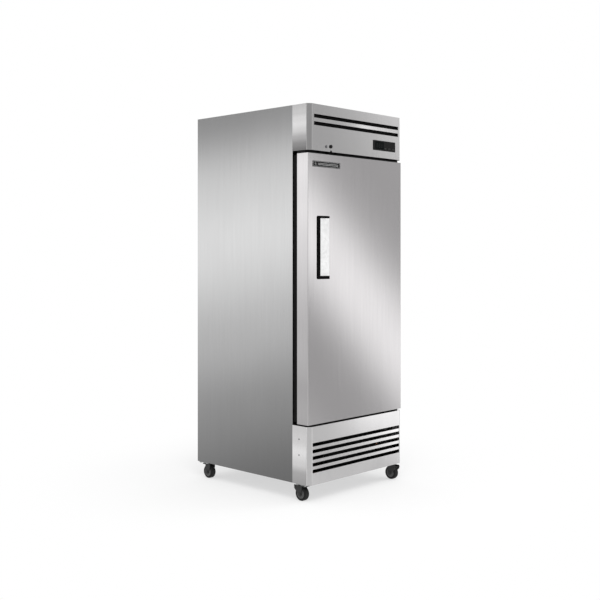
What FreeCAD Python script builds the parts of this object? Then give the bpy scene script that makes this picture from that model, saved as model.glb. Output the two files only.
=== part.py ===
"""A one-door reach-in refrigerator on casters, built from separate pieces, one STEP file per piece.

The cabinet is an insulated steel box with a header over the door, a louvred lower grille in front of
the bottom-mounted condensing unit, and a foamed door hinged on its right-hand side.

Frame: millimetres, +Z up, X to the right as seen from the front, and the door faces -Y.
The origin is on the floor, under the middle of the cabinet's box.
Depths are worked in s, the distance behind the front face of the header; y_at(s) turns s into Y.
"""
import FreeCAD
import Part
import math
import os

Vector = FreeCAD.Vector

# ---------------------------------------------------------------- driving dimensions
width = 750.0            # over the side panels
depth = 850.0            # header face to back panel
body_height = 1900.0     # bottom edge of the panels to the top
caster_height = 90.0     # floor to the underside of the base
wall = 60.0              # insulated wall with both of its skins
sheet = 1.2              # outer stainless sheet
liner_sheet = 1.0        # inner liner sheet
ear_depth = 114.0        # how far header and grille wrap round the sides
bevel_depth = 17.0       # upright bevel on the corners of header and grille, front to back
bevel_width = 23.0       # and across the front
ear_proud = 1.0          # ears outside the side panels
grille_height = 291.0    # lower grille, from the bottom of the body
header_height = 232.0    # header, down from the top
base_sheet = 2.0
gap_over_door = 14.0
gap_under_door = 8.0
door_setback = 8.0       # door face behind the header face
door_side = 74.0         # depth of the door's stainless side
proud = 8.0              # lock face in front of the header, and cord gland behind the back panel

# ---------------------------------------------------------------- levels and faces
half_width = width / 2
inner_half = half_width - sheet
bottom = caster_height
base_level = bottom + base_sheet
top = bottom + body_height
grille_top = bottom + grille_height
header_bottom = top - header_height
door_bottom = grille_top + gap_under_door
door_top = header_bottom - gap_over_door
door_front = door_setback
door_back = door_front + door_side
room_half = half_width - wall                # inside face of the liner
floor_level = grille_top + wall              # inside floor
ceiling_level = top - wall                   # inside ceiling
opening_top = door_top - 53.0                # top of the door opening
face = ear_depth                             # front plane of the cabinet behind the door
room_front = face + sheet
room_back = depth - wall                     # inside back face


def y_at(s):
    """Y of a depth s behind the header's face."""
    return s - depth / 2


# ---------------------------------------------------------------- shape helpers
def block(x0, x1, s0, s1, z0, z1):
    """A box between two X, two depths s and two Z."""
    low = Vector(min(x0, x1), y_at(min(s0, s1)), min(z0, z1))
    return Part.makeBox(abs(x1 - x0), abs(s1 - s0), abs(z1 - z0), low)


def rod_x(radius, x0, x1, s, z):
    return Part.makeCylinder(radius, x1 - x0, Vector(x0, y_at(s), z), Vector(1, 0, 0))


def rod_y(radius, x, s0, s1, z):
    return Part.makeCylinder(radius, s1 - s0, Vector(x, y_at(s0), z), Vector(0, 1, 0))


def rod_z(radius, x, s, z0, z1):
    return Part.makeCylinder(radius, z1 - z0, Vector(x, y_at(s), z0), Vector(0, 0, 1))


def plan_prism(points, z0, z1):
    """A prism over a plan outline given as (x, s) points."""
    loop = [Vector(x, y_at(s), z0) for x, s in points]
    loop.append(loop[0])
    return Part.Face(Part.makePolygon(loop)).extrude(Vector(0, 0, z1 - z0))


def side_prism(points, x0, x1):
    """A prism along X over an outline given as (s, z) points."""
    loop = [Vector(x0, y_at(s), z) for s, z in points]
    loop.append(loop[0])
    return Part.Face(Part.makePolygon(loop)).extrude(Vector(x1 - x0, 0, 0))


def fused(shapes):
    return shapes[0].fuse(shapes[1:]).removeSplitter() if len(shapes) > 1 else shapes[0]


def round_upright_edges(shape, radius, keep=lambda edge: True):
    """Rounds the straight vertical edges that keep() accepts."""
    chosen = []
    for edge in shape.Edges:
        if isinstance(edge.Curve, Part.Line) and abs(edge.tangentAt(edge.FirstParameter).z) > 0.999:
            if keep(edge):
                chosen.append(edge)
    return shape.makeFillet(radius, chosen)


def rounded_plate(x0, x1, s0, s1, z0, z1, radius):
    """A flat plate standing in the XZ plane, with its four corners rounded."""
    plate = block(x0, x1, s0, s1, z0, z1)
    corners = [e for e in plate.Edges if abs(e.tangentAt(e.FirstParameter).y) > 0.999]
    return plate.makeFillet(radius, corners)


def tube_path(points, bend):
    """A wire of straight runs joined by tangent arcs, through (x, s, z) points."""
    corners = [Vector(x, y_at(s), z) for x, s, z in points]
    edges = []
    here = corners[0]
    for before, corner, after in zip(corners, corners[1:], corners[2:]):
        into = (corner - before).normalize()
        out = (after - corner).normalize()
        turn = into.getAngle(out)
        cut = bend * math.tan(turn / 2)
        start = corner - into * cut
        end = corner + out * cut
        to_centre = (out - into).normalize()
        centre = corner + to_centre * (bend / math.cos(turn / 2))
        middle = centre - to_centre * bend
        edges.append(Part.LineSegment(here, start).toShape())
        edges.append(Part.Arc(start, middle, end).toShape())
        here = end
    edges.append(Part.LineSegment(here, corners[-1]).toShape())
    return Part.Wire(edges)


def tube(points, bend, radius):
    """A round pipe, taken as a solid rod, along a tube_path."""
    path = tube_path(points, bend)
    first = path.Edges[0]
    ring = Part.Wire(Part.makeCircle(radius, first.valueAt(first.FirstParameter),
                                     first.tangentAt(first.FirstParameter)))
    return path.makePipeShell([ring], True, True)


def finned_block(x0, x1, s0, s1, z0, z1, pitch, web_axis):
    """A coil's fin pack: thin fins across X on a solid web that stands for the tube plane."""
    fin, web = 1.0, 3.0
    block_shape = block(x0, x1, s0, s1, z0, z1)
    count = int((x1 - x0) / pitch)
    gaps = []
    for i in range(count):
        left = x0 + fin + pitch * i
        right = min(left + pitch - fin, x1 - fin)
        if web_axis == "s":
            middle = (s0 + s1) / 2
            gaps.append(block(left, right, s0 - 1, middle - web / 2, z0 - 1, z1 + 1))
            gaps.append(block(left, right, middle + web / 2, s1 + 1, z0 - 1, z1 + 1))
        else:
            middle = (z0 + z1) / 2
            gaps.append(block(left, right, s0 - 1, s1 + 1, z0 - 1, middle - web / 2))
            gaps.append(block(left, right, s0 - 1, s1 + 1, middle + web / 2, z1 + 1))
    return block_shape.cut(Part.makeCompound(gaps))


def save(name, *solids):
    """Writes one node, checking each solid first."""
    pieces = [solid for shape in solids for solid in shape.Solids]
    for solid in pieces:
        assert solid.isValid() and solid.Volume > 0, name
    shape = pieces[0] if len(pieces) == 1 else Part.makeCompound(pieces)
    shape.exportStep(f"parts/{name}.step")


# ---------------------------------------------------------------- cabinet shell
def cabinet_panels():
    for name, side in (("side_panel_left", -1), ("side_panel_right", 1)):
        save(name, block(side * inner_half, side * half_width, face, depth, bottom, top))
    save("top_panel", block(-inner_half, inner_half, face, depth - sheet, top - sheet, top))
    save("back_panel", block(-inner_half, inner_half, depth - sheet, depth, grille_top, top))


chase_x = (220.0, 272.0)     # upright duct for the refrigerant and drain lines, in the back wall
front_wall_back = face + wall + liner_sheet


def insulation():
    """Foam slabs that fill the walls; the line chase stays free between the two back slabs."""
    skin = room_half + liner_sheet
    z0, z1 = grille_top, top - sheet
    s0, s1 = room_front, depth - sheet
    left = block(-inner_half, -skin, s0, s1, z0, z1)
    right = block(skin, inner_half, s0, s1, z0, z1)
    back = block(-skin, chase_x[0], room_back, s1, z0, z1)
    back_right = block(chase_x[1], skin, room_back, s1, z0, z1)
    ceiling = block(-skin, skin, s0, room_back, ceiling_level + liner_sheet, z1)
    floor = block(-skin, skin, s0, room_back, z0, floor_level - liner_sheet)
    front = block(-room_half, room_half, s0, front_wall_back - liner_sheet,
                  opening_top + liner_sheet, ceiling_level)
    save("wall_insulation", left, right, back, back_right, ceiling, floor, front)


line_s = depth - 30.0    # the lines stand side by side in the chase
liquid_x, suction_x, drain_x = 232.0, 245.0, 260.0
liquid_level, suction_level, drain_level = 1878.0, 1858.0, 1755.0    # where they enter the room
liquid_radius, suction_radius, drain_radius = 2.5, 5.0, 5.5


def line_holes(s):
    """Clearance holes for the three lines through a sheet at depth s."""
    places = ((liquid_x, liquid_level, liquid_radius), (suction_x, suction_level, suction_radius),
              (drain_x, drain_level, drain_radius))
    return Part.makeCompound([rod_y(radius + 1.5, x, s - 4, s + 4, z) for x, z, radius in places])


def liner():
    """Inner skins of the storage room, one flat sheet to each wall."""
    skin = room_half + liner_sheet
    left = block(-skin, -room_half, room_front, room_back, floor_level, ceiling_level)
    right = block(room_half, skin, room_front, room_back, floor_level, ceiling_level)
    back = block(-room_half, room_half, room_back - liner_sheet, room_back, floor_level, ceiling_level)
    back = back.cut(line_holes(room_back))
    ceiling = block(-skin, skin, room_front, room_back, ceiling_level, ceiling_level + liner_sheet)
    floor = block(-skin, skin, room_front, room_back, floor_level - liner_sheet, floor_level)
    front = block(-room_half, room_half, front_wall_back - liner_sheet, front_wall_back,
                  opening_top, ceiling_level)
    under = block(-room_half, room_half, room_front, front_wall_back - liner_sheet,
                  opening_top, opening_top + liner_sheet)
    save("interior_liner", left, right, back, ceiling, floor, front, under)


def face_frame():
    """Two front posts, a sill and a lintel round the door opening, which the gasket seals against."""
    post_top = header_bottom + 60.0
    left = block(-inner_half, -room_half, face, room_front, base_level, post_top)
    right = block(room_half, inner_half, face, room_front, base_level, post_top)
    sill = block(-room_half, room_half, face, room_front, grille_top, floor_level)
    lintel = block(-room_half, room_half, face, room_front, opening_top, post_top)
    save("face_frame", left, right, sill, lintel)


# ---------------------------------------------------------------- header and lower grille
def wrap_outline(inset):
    """Plan outline of header or grille: ears, bevelled corners and front, moved in by inset."""
    outer = half_width + ear_proud
    side = outer - inset
    slant = 1 + inset * math.hypot(1 / bevel_width, 1 / bevel_depth)
    bevel_back = bevel_depth * (slant - inset / bevel_width)
    bevel_front = outer - bevel_width * (slant - inset / bevel_depth)
    return [(-side, ear_depth), (-side, bevel_back), (-bevel_front, inset),
            (bevel_front, inset), (side, bevel_back), (side, ear_depth)]


def wrap_shell(z0, z1):
    """Bent sheet: front, bevels and two ears, open at the back, top and bottom."""
    outer = plan_prism(wrap_outline(0), z0, z1)
    bend_radius = 4.0
    outer = round_upright_edges(outer, bend_radius, lambda e: e.Vertexes[0].Y < y_at(ear_depth - 1))
    inside = wrap_outline(sheet)
    inside[0] = (inside[0][0], ear_depth + 1)
    inside[-1] = (inside[-1][0], ear_depth + 1)
    inner = plan_prism(inside, z0 - 1, z1 + 1)
    inner = round_upright_edges(inner, bend_radius - sheet,
                                lambda e: e.Vertexes[0].Y < y_at(ear_depth - 1))
    return outer.cut(inner)


def slot_cutter(half_length, z_middle, height):
    """A long louvre slot with rounded ends, through the front sheet."""
    return rounded_plate(-half_length, half_length, -3, 4, z_middle - height / 2, z_middle + height / 2, 2.0)


header_slot_half = 339.0
header_slot_height = 18.5
header_slot_levels = (bottom + 1840.0, bottom + 1803.0)
controller_x = (124.0, 312.0)
controller_z = (bottom + 1706.5, bottom + 1760.0)
lock_x, lock_z = -214.0, bottom + 1695.0
lamp_x, lamp_z = -248.5, bottom + 1692.0
lock_barrel_radius = 8.0
lamp_radius = 5.5
hem = 10.0
hem_half = half_width - bevel_width - 2


def header():
    shell = wrap_shell(header_bottom, top)
    lid_outline = wrap_outline(sheet / 2)
    lid = plan_prism(lid_outline, top - sheet, top)
    hem_strip = block(-hem_half, hem_half, sheet / 2, hem, header_bottom, header_bottom + sheet)
    panel = fused([shell, lid, hem_strip])
    cutters = [slot_cutter(header_slot_half, z, header_slot_height) for z in header_slot_levels]
    cutters.append(block(controller_x[0] + 4, controller_x[1] - 4, -1, 4,
                         controller_z[0] + 4, controller_z[1] - 4))
    cutters.append(rod_y(lock_barrel_radius + 0.2, lock_x, -3, 6, lock_z))
    cutters.append(rod_y(lamp_radius + 0.2, lamp_x, -3, 6, lamp_z))
    notch_width, notch_height = 12.0, 7.0
    cutters.append(block(lock_x + 2 - notch_width / 2, lock_x + 2 + notch_width / 2, -1, hem + 2,
                         header_bottom - 1, header_bottom + notch_height))
    save("header_panel", panel.cut(Part.makeCompound(cutters)))

    # black backing behind the two slots, standing on small feet off the sheet
    backing = block(-header_slot_half - 4, header_slot_half + 4, 9.0, 10.5,
                    header_slot_levels[1] - 16, header_slot_levels[0] + 16)
    ends = [block(x, x + 3, sheet, 9.0, header_slot_levels[1] - 16, header_slot_levels[0] + 16)
            for x in (-header_slot_half - 4, header_slot_half + 1)]
    save("vent_screen", fused([backing] + ends))


grille_slot_half = 349.0
grille_slot_height = 17.5
grille_slot_pitch = 33.0
grille_slot_levels = [bottom + 201.0 - grille_slot_pitch * i for i in range(5)]
ear_screw_s = 68.0
ear_screw_levels = (bottom + 225.0, bottom + 146.0)


def lower_grille():
    shell = wrap_shell(bottom, grille_top)
    lid_depth = 100.0
    lid_points = [(x, min(s, lid_depth)) for x, s in wrap_outline(sheet / 2)]
    lid = plan_prism(lid_points, grille_top - sheet, grille_top)
    hem_strip = block(-hem_half, hem_half, sheet / 2, hem, bottom, bottom + sheet)
    panel = fused([shell, lid, hem_strip])
    cutters = [slot_cutter(grille_slot_half, z, grille_slot_height) for z in grille_slot_levels]
    for z in ear_screw_levels:
        for side in (-1, 1):
            x0, x1 = sorted((side * (half_width - 4), side * (half_width + 3)))
            cutters.append(rod_x(2.2, x0, x1, ear_screw_s, z))
    save("lower_grille", panel.cut(Part.makeCompound(cutters)))


rear_screw_levels = (bottom + 20.0, bottom + grille_height / 2, bottom + grille_height - 20.0)
rear_screw_x = inner_half - 14.0


def domed_screw(direction):
    """A pan-head screw along +X, its head's seat at x = 0 and its shank towards -X."""
    head_radius, head_height = 4.5, 2.0
    sphere_radius = (head_radius ** 2 + head_height ** 2) / (2 * head_height)
    ball = Part.makeSphere(sphere_radius, Vector(head_height - sphere_radius, 0, 0))
    head = ball.common(Part.makeBox(head_height, 2 * head_radius, 2 * head_radius,
                                    Vector(0, -head_radius, -head_radius)))
    recess = [Part.makeBox(1.2, 5.0, 1.0, Vector(head_height - 0.9, -2.5, -0.5)),
              Part.makeBox(1.2, 1.0, 5.0, Vector(head_height - 0.9, -0.5, -2.5))]
    shank = Part.makeCylinder(2.0, 10.0, Vector(-10, 0, 0), Vector(1, 0, 0))
    screw = fused([head.cut(Part.makeCompound(recess)), shank])
    screw.Placement = FreeCAD.Placement(Vector(0, 0, 0), FreeCAD.Rotation(Vector(1, 0, 0), direction))
    return screw


def panel_screws():
    screws = []
    for z in ear_screw_levels:
        for side in (-1, 1):
            screw = domed_screw(Vector(side, 0, 0))
            screw.translate(Vector(side * (half_width + ear_proud), y_at(ear_screw_s), z))
            screws.append(screw)
    for z in rear_screw_levels:
        for side in (-1, 1):
            screw = domed_screw(Vector(0, 1, 0))
            screw.translate(Vector(side * rear_screw_x, y_at(depth), z))
            screws.append(screw)
    save("panel_screws", *screws)


# ---------------------------------------------------------------- controls in the header
key_x = (225.0, 258.0, 291.0)
key_z = controller_z[0] + 13.0
key_size = (18.0, 9.0)
lens_x = (139.0, 212.0)
lens_z = (controller_z[0] + 7.0, controller_z[1] - 7.0)
bezel_proud = 2.0
key_proud = 1.4


def controller():
    x0, x1 = controller_x
    z0, z1 = controller_z
    bezel = rounded_plate(x0, x1, -bezel_proud, 0, z0, z1, 3.0)
    case = block(x0 + 4.5, x1 - 4.5, 0, 42, z0 + 4.5, z1 - 4.5)
    housing = fused([bezel, case])
    cutters = [block(lens_x[0], lens_x[1], -bezel_proud - 1, -bezel_proud + 1.2, lens_z[0], lens_z[1])]
    for x in key_x:
        cutters.append(block(x - key_size[0] / 2 - 0.3, x + key_size[0] / 2 + 0.3, -bezel_proud - 1, 6.0,
                             key_z - key_size[1] / 2 - 0.3, key_z + key_size[1] / 2 + 0.3))
    save("controller_housing", housing.cut(Part.makeCompound(cutters)))
    save("controller_lens", rounded_plate(lens_x[0] + 0.2, lens_x[1] - 0.2, -bezel_proud - 0.2,
                                          -bezel_proud + 1.2, lens_z[0] + 0.2, lens_z[1] - 0.2, 1.0))
    for name, x in zip(("key_set", "key_up", "key_down"), key_x):
        key = rounded_plate(x - key_size[0] / 2, x + key_size[0] / 2, -bezel_proud - key_proud, 4.6,
                            key_z - key_size[1] / 2, key_z + key_size[1] / 2, 1.5)
        save(name, key)


cam_front, cam_back = 24.0, 27.0
cam_length, cam_width = 52.0, 12.0
plug_radius = 5.8


def lock():
    flange = rod_y(9.0, lock_x, -4.5, 0.0, lock_z)
    barrel = rod_y(lock_barrel_radius, lock_x, 0.0, 22.0, lock_z)
    bore = rod_y(plug_radius + 0.05, lock_x, -6.0, 24.0, lock_z)
    save("lock_escutcheon", fused([flange, barrel]).cut(bore))

    plug = rod_y(plug_radius, lock_x, -proud, cam_front, lock_z)
    rim = [e for e in plug.Edges if isinstance(e.Curve, Part.Circle) and e.Curve.Center.y < y_at(-proud + 1)]
    plug = plug.makeChamfer(0.8, rim)
    keyway = block(lock_x - 1.0, lock_x + 1.0, -proud - 1, -proud + 10, lock_z - 4.0, lock_z + 4.0)
    arm = block(lock_x - cam_length + cam_width / 2, lock_x, cam_front, cam_back,
                lock_z - cam_width / 2, lock_z + cam_width / 2)
    tip = rod_y(cam_width / 2, lock_x - cam_length + cam_width / 2, cam_front, cam_back, lock_z)
    boss = rod_y(9.0, lock_x, cam_front, cam_back, lock_z)
    nut = rod_y(5.0, lock_x, cam_back, cam_back + 4, lock_z)
    save("lock_cylinder", fused([plug.cut(keyway), arm, tip, boss, nut]))

    stem = rod_y(lamp_radius, lamp_x, 0.0, 16.0, lamp_z)
    collar = rod_y(7.5, lamp_x, -1.5, 0.0, lamp_z)
    jewel_radius = 9.0
    jewel = Part.makeSphere(jewel_radius, Vector(lamp_x, y_at(-3.2 + jewel_radius), lamp_z))
    jewel = jewel.common(rod_y(lamp_radius, lamp_x, -4.0, -1.0, lamp_z))
    save("pilot_lamp", fused([stem, collar, jewel]))


# ---------------------------------------------------------------- base and machine compartment
caster_inset_x = 36.0
caster_front_s = 62.0
caster_rear_s = 808.0


def base_plate():
    save("base_plate", block(-inner_half + 0.8, inner_half - 0.8, 24.0, depth - sheet, bottom, base_level))


compressor_at = (150.0, 500.0)


def compressor():
    """Hermetic compressor: domed shell, weld flange, foot plate on grommets, terminal box."""
    x, s = compressor_at
    radius, lower, upper = 82.0, 70.0, 75.0
    z0 = base_level + 14.0
    axis = Vector(x, y_at(s), 0)
    crown = 26.0
    outline = [Vector(0, 0, z0), Vector(radius - 20, 0, z0), Vector(radius, 0, z0 + 20),
               Vector(radius, 0, z0 + lower), Vector(radius + 5, 0, z0 + lower),
               Vector(radius + 5, 0, z0 + lower + 5), Vector(radius, 0, z0 + lower + 5),
               Vector(radius, 0, z0 + lower + upper - crown), Vector(radius - crown, 0, z0 + lower + upper),
               Vector(0, 0, z0 + lower + upper + 6)]
    face_outline = Part.Face(Part.makePolygon(outline + [outline[0]]))
    shell = face_outline.revolve(Vector(0, 0, 0), Vector(0, 0, 1), 360)
    shell.translate(axis)
    foot = block(x - 110, x + 110, s - 62, s + 62, z0 - 4, z0)
    terminals = block(x - 30, x + 30, s - radius - 28, s - radius + 12, z0 + 30, z0 + 78)
    grommets = [rod_z(14, x + dx, s + ds, base_level, z0 - 4) for dx in (-92, 92) for ds in (-46, 46)]
    save("compressor", fused([shell, foot, terminals] + grommets))


condenser_half = 190.0
condenser_z = (base_level, base_level + 236.0)
condenser_s = (40.0, 84.0)
fan_level = base_level + 122.0
shroud_bore = 97.0


def condenser():
    """Finned condenser coil with its return bends, the fan shroud behind it, fan and motor."""
    s0, s1 = condenser_s
    z0, z1 = condenser_z
    core = finned_block(-condenser_half, condenser_half, s0, s1, z0 + 2, z1, 8.0, "s")
    plates = [block(x, x + 2, s0 - 4, s1 + 4, z0, z1 + 4) for x in (-condenser_half - 2, condenser_half)]
    bends = []
    rows = 7
    pitch = (z1 - z0 - 30) / rows
    for side in (-1, 1):
        for i in range(rows):
            z = z0 + 22 + pitch * i
            centre = Vector(side * (condenser_half + 2), y_at((s0 + s1) / 2), z)
            ring = Part.makeTorus(pitch / 2 - 3, 4.5, centre, Vector(0, 1, 0))
            x0, x1 = sorted((side * (condenser_half + 2), side * (condenser_half + 40)))
            bends.append(ring.common(block(x0, x1, s0, s1, z - 30, z + 30)))
    save("condenser_coil", fused([core] + plates + bends))

    wall_plate = block(-condenser_half, condenser_half, s1 + 4, s1 + 6, z0, z1)
    ring = rod_y(shroud_bore + 2, 0, s1 + 4, s1 + 34, fan_level)
    bore = rod_y(shroud_bore, 0, s1 + 3, s1 + 35, fan_level)
    save("condenser_shroud", fused([wall_plate, ring]).cut(bore))

    motor = rod_y(34.0, 0, s1 + 52, s1 + 112, fan_level)
    shaft_clearance = 0.05
    nose = rod_y(14.0, 0, s1 + 44, s1 + 52, fan_level)
    shaft_bore = rod_y(4.0 + shaft_clearance, 0, s1 + 43, s1 + 80, fan_level)
    post = block(-12, 12, s1 + 66, s1 + 96, base_level, fan_level - 28)
    foot = block(-45, 45, s1 + 56, s1 + 106, base_level, base_level + 3)
    save("condenser_fan_motor", fused([motor, nose, post, foot]).cut(shaft_bore))
    save("condenser_fan", fan_blades(0, fan_level, s1 + 12, s1 + 36, 90.0, 24.0, s1 + 78))


def fan_blades(x, z, s0, s1, radius, hub_radius, shaft_end):
    """Axial fan about a Y axis: hub, shaft and five pitched blades between s0 and s1."""
    hub = rod_y(hub_radius, x, s0, s1, z)
    shaft = rod_y(4.0, x, s1, shaft_end, z)
    middle = (s0 + s1) / 2
    blades = []
    blade_count = 5
    for i in range(blade_count):
        blade = Part.makeBox(46.0, 2.0, radius - hub_radius + 2, Vector(-23.0, -1.0, hub_radius - 4))
        blade.rotate(Vector(0, 0, 0), Vector(0, 0, 1), 24)
        blade.rotate(Vector(0, 0, 0), Vector(0, 1, 0), 360.0 / blade_count * i)
        blade.translate(Vector(x, y_at(middle), z))
        blades.append(blade)
    rim = rod_y(radius, x, s0 - 5, s1 + 5, z)
    swept = Part.makeCompound(blades).common(rim)
    return fused([hub, shaft] + swept.Solids)


pan_box = (-330.0, -60.0, 560.0, 800.0)
cover_half = 270.0
cover_s = (230.0, 740.0)
cover_bottom = 1745.0
evap_plate_x = 212.0     # outer face of the evaporator's end plate


def condensate_drain():
    """Evaporating pan on the base plate, and the drain tube that drops into it down the line chase."""
    x0, x1, s0, s1 = pan_box
    outer = block(x0, x1, s0, s1, base_level, base_level + 42)
    inner = block(x0 + 1.5, x1 - 1.5, s0 + 1.5, s1 - 1.5, base_level + 1.5, base_level + 43)
    across = base_level + 150
    drop = tube([(drain_x, cover_s[1] - 24, drain_level), (drain_x, line_s, drain_level),
                 (drain_x, line_s, across), (-100, depth - 62, across),
                 (-100, depth - 62, base_level + 20)], 14.0, drain_radius)
    save("condensate_drain", outer.cut(inner), drop)


def refrigerant_lines():
    """Discharge, liquid and suction lines, with the filter drier as the fat piece in the liquid line."""
    x, s = compressor_at
    side_x = condenser_half + 8
    plate_x = condenser_half + 2
    coil_s = condenser_s[0] + 10     # clear of the coil's return bends
    discharge = tube([(x + 50, s - 88, base_level + 120), (x + 50, s - 150, base_level + 120),
                      (side_x + 30, s - 150, base_level + 120), (side_x + 30, coil_s, base_level + 120),
                      (plate_x, coil_s, base_level + 120)], 16.0, 3.5)
    liquid = tube([(-plate_x, coil_s, base_level + 30), (-side_x - 60, coil_s, base_level + 30),
                   (-side_x - 60, 260, base_level + 30), (-side_x - 60, 260, base_level + 180),
                   (-side_x - 60, line_s, base_level + 180), (liquid_x, line_s, base_level + 180),
                   (liquid_x, line_s, liquid_level), (liquid_x, 630, liquid_level),
                   (evap_plate_x, 630, liquid_level)], 9.0, liquid_radius)
    drier = fused([rod_y(11.0, -side_x - 60, 330, 430, base_level + 180),
                   rod_y(6.0, -side_x - 60, 318, 442, base_level + 180)])
    drier = drier.cut(rod_y(liquid_radius + 0.05, -side_x - 60, 300, 460, base_level + 180))
    suction = tube([(x + 40, s + 96, base_level + 80), (x + 40, s + 150, base_level + 80),
                    (x + 40, s + 150, base_level + 210), (suction_x, s + 150, base_level + 210),
                    (suction_x, line_s, base_level + 210), (suction_x, line_s, suction_level),
                    (suction_x, 540, suction_level), (evap_plate_x, 540, suction_level)],
                   12.0, suction_radius)
    save("refrigerant_lines", discharge, liquid, drier, suction)


gland_x, gland_z = 285.0, base_level + 60.0
gland_bore = 5.5


def electrical_box():
    """Terminal box with the gland for the supply cord, which comes out through the rear cover."""
    box = block(gland_x - 50, gland_x + 50, depth - 90, depth - 12, base_level, base_level + 130)
    neck = rod_y(11.0, gland_x, depth - 14, depth + 2, gland_z)
    nut = rod_y(14.0, gland_x, depth + 0.2, depth + proud, gland_z)
    rim = [e for e in nut.Edges
           if isinstance(e.Curve, Part.Circle) and e.Curve.Center.y > y_at(depth + proud - 1)]
    nut = nut.makeChamfer(1.5, rim)
    bore = rod_y(gland_bore, gland_x, depth - 24, depth + proud + 1, gland_z)
    save("electrical_box", fused([box, neck, nut]).cut(bore))


def rear_cover():
    cover = block(-inner_half, inner_half, depth - sheet, depth, bottom + 2, grille_top - 1)
    cutters = [rod_y(11.3, gland_x, depth - 3, depth + 3, gland_z)]
    for z in rear_screw_levels:
        cutters += [rod_y(2.2, side * rear_screw_x, depth - 3, depth + 3, z) for side in (-1, 1)]
    louvre_rows, louvre_pitch = 7, 24.0
    for row in range(louvre_rows):
        z = bottom + 100 + louvre_pitch * row
        for x in (-210.0, 0.0, 210.0):
            cutters.append(rounded_plate(x - 85, x + 85, depth - 3, depth + 3, z, z + 7, 3.0))
    save("rear_cover", cover.cut(Part.makeCompound(cutters)))


# ---------------------------------------------------------------- evaporator
evap_fan_s = 350.0
intake_radius = 90.0


def evaporator():
    s0, s1 = cover_s
    z0, z1 = cover_bottom, ceiling_level
    t = 1.5
    outer = block(-cover_half, cover_half, s0, s1, z0, z1)
    inner = block(-cover_half + t, cover_half - t, s0 + t, s1 - t, z0 + t, z1 + 1)
    cutters = [inner, rod_z(intake_radius, 0, evap_fan_s, z0 - 1, z0 + t + 1)]
    for i in range(4):
        z = z0 + 40 + 28 * i
        cutters.append(rounded_plate(-220, 220, s1 - 4, s1 + 2, z, z + 12, 3.0))
    cover = outer.cut(Part.makeCompound(cutters)).cut(line_holes(s1))
    save("evaporator_cover", cover)

    core = finned_block(-210, 210, 500, 660, z0 + 30, z0 + 160, 10.0, "z")
    plates = [block(x, x + 2, 496, 664, z0 + 10, z1) for x in (-evap_plate_x, evap_plate_x - 2)]
    bends = []
    for side in (-1, 1):
        for z in (z0 + 60, z0 + 95, z0 + 130):
            ring = Part.makeTorus(12, 4.5, Vector(side * evap_plate_x, y_at(580), z), Vector(0, 1, 0))
            x0, x1 = sorted((side * evap_plate_x, side * 250))
            bends.append(ring.common(block(x0, x1, 560, 600, z - 30, z + 30)))
    save("evaporator_coil", fused([core] + plates + bends))

    # motor hangs on a three-armed wire guard that screws to the cover's underside
    wire = 2.0
    guard_z = z0 - wire
    rings = [Part.makeTorus(r, wire, Vector(0, y_at(evap_fan_s), guard_z)) for r in (22, 40, 58, 76, 94)]
    arms = []
    for i in range(4):
        arm = Part.makeCylinder(wire, 100, Vector(0, 0, guard_z), Vector(1, 0, 0))
        arm.rotate(Vector(0, 0, 0), Vector(0, 0, 1), 90 * i + 45)
        arm.translate(Vector(0, y_at(evap_fan_s), 0))
        arms.append(arm)
    post = rod_z(9.0, 0, evap_fan_s, guard_z - 1, z0 + 4)
    motor = rod_z(28.0, 0, evap_fan_s, z0 + 52, z0 + 98)
    nose = rod_z(10.0, 0, evap_fan_s, z0 + 46, z0 + 52)
    hanger = [block(x, x + 3, evap_fan_s - 10, evap_fan_s + 10, z0 + 80, z1) for x in (-31, 28)]
    shaft_hole = rod_z(4.05, 0, evap_fan_s, z0 + 45, z0 + 76)
    motor_body = fused([motor, nose] + hanger).cut(shaft_hole)
    save("evaporator_fan_motor", fused(rings + arms + [post]), motor_body)

    fan = fan_blades(0, 0, -10.0, 10.0, 80.0, 22.0, 44.0)
    fan.translate(Vector(0, -y_at(0), 0))
    fan.rotate(Vector(0, 0, 0), Vector(1, 0, 0), 90)
    fan.translate(Vector(0, y_at(evap_fan_s), z0 + 28))
    save("evaporator_fan", fan)


# ---------------------------------------------------------------- shelves
shelf_half = 300.0
shelf_s = (190.0, 750.0)
shelf_levels = {"shelf_lower": 740.0, "shelf_middle": 1040.0, "shelf_upper": 1340.0}
pilaster_s = (230.0, 690.0)
pilaster_width = 20.0
pilaster_thick = 6.0
frame_wire, deck_wire = 3.5, 1.8


def shelf(name, level):
    """Welded wire shelf: a rounded perimeter frame, three cross rods and the deck wires on top."""
    s0, s1 = shelf_s
    corner = 22.0
    x0, x1 = -shelf_half + frame_wire, shelf_half - frame_wire
    y0, y1 = s0 + frame_wire, s1 - frame_wire
    z = level + frame_wire
    loop = [(0, y0, z), (x1, y0, z), (x1, y1, z), (x0, y1, z), (x0, y0, z), (0, y0, z)]
    frame = tube(loop, corner, frame_wire)
    rods = [rod_x(3.0, x0, x1, s, z) for s in (s0 + 150, (s0 + s1) / 2, s1 - 150)]
    deck_z = z + frame_wire + deck_wire - 0.9
    count, pitch = 23, 25.0
    wires = [rod_y(deck_wire, (i - (count - 1) / 2) * pitch, s0 + 2, s1 - 2, deck_z) for i in range(count)]
    solid = frame.fuse(rods + wires)
    save(name, solid)


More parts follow.
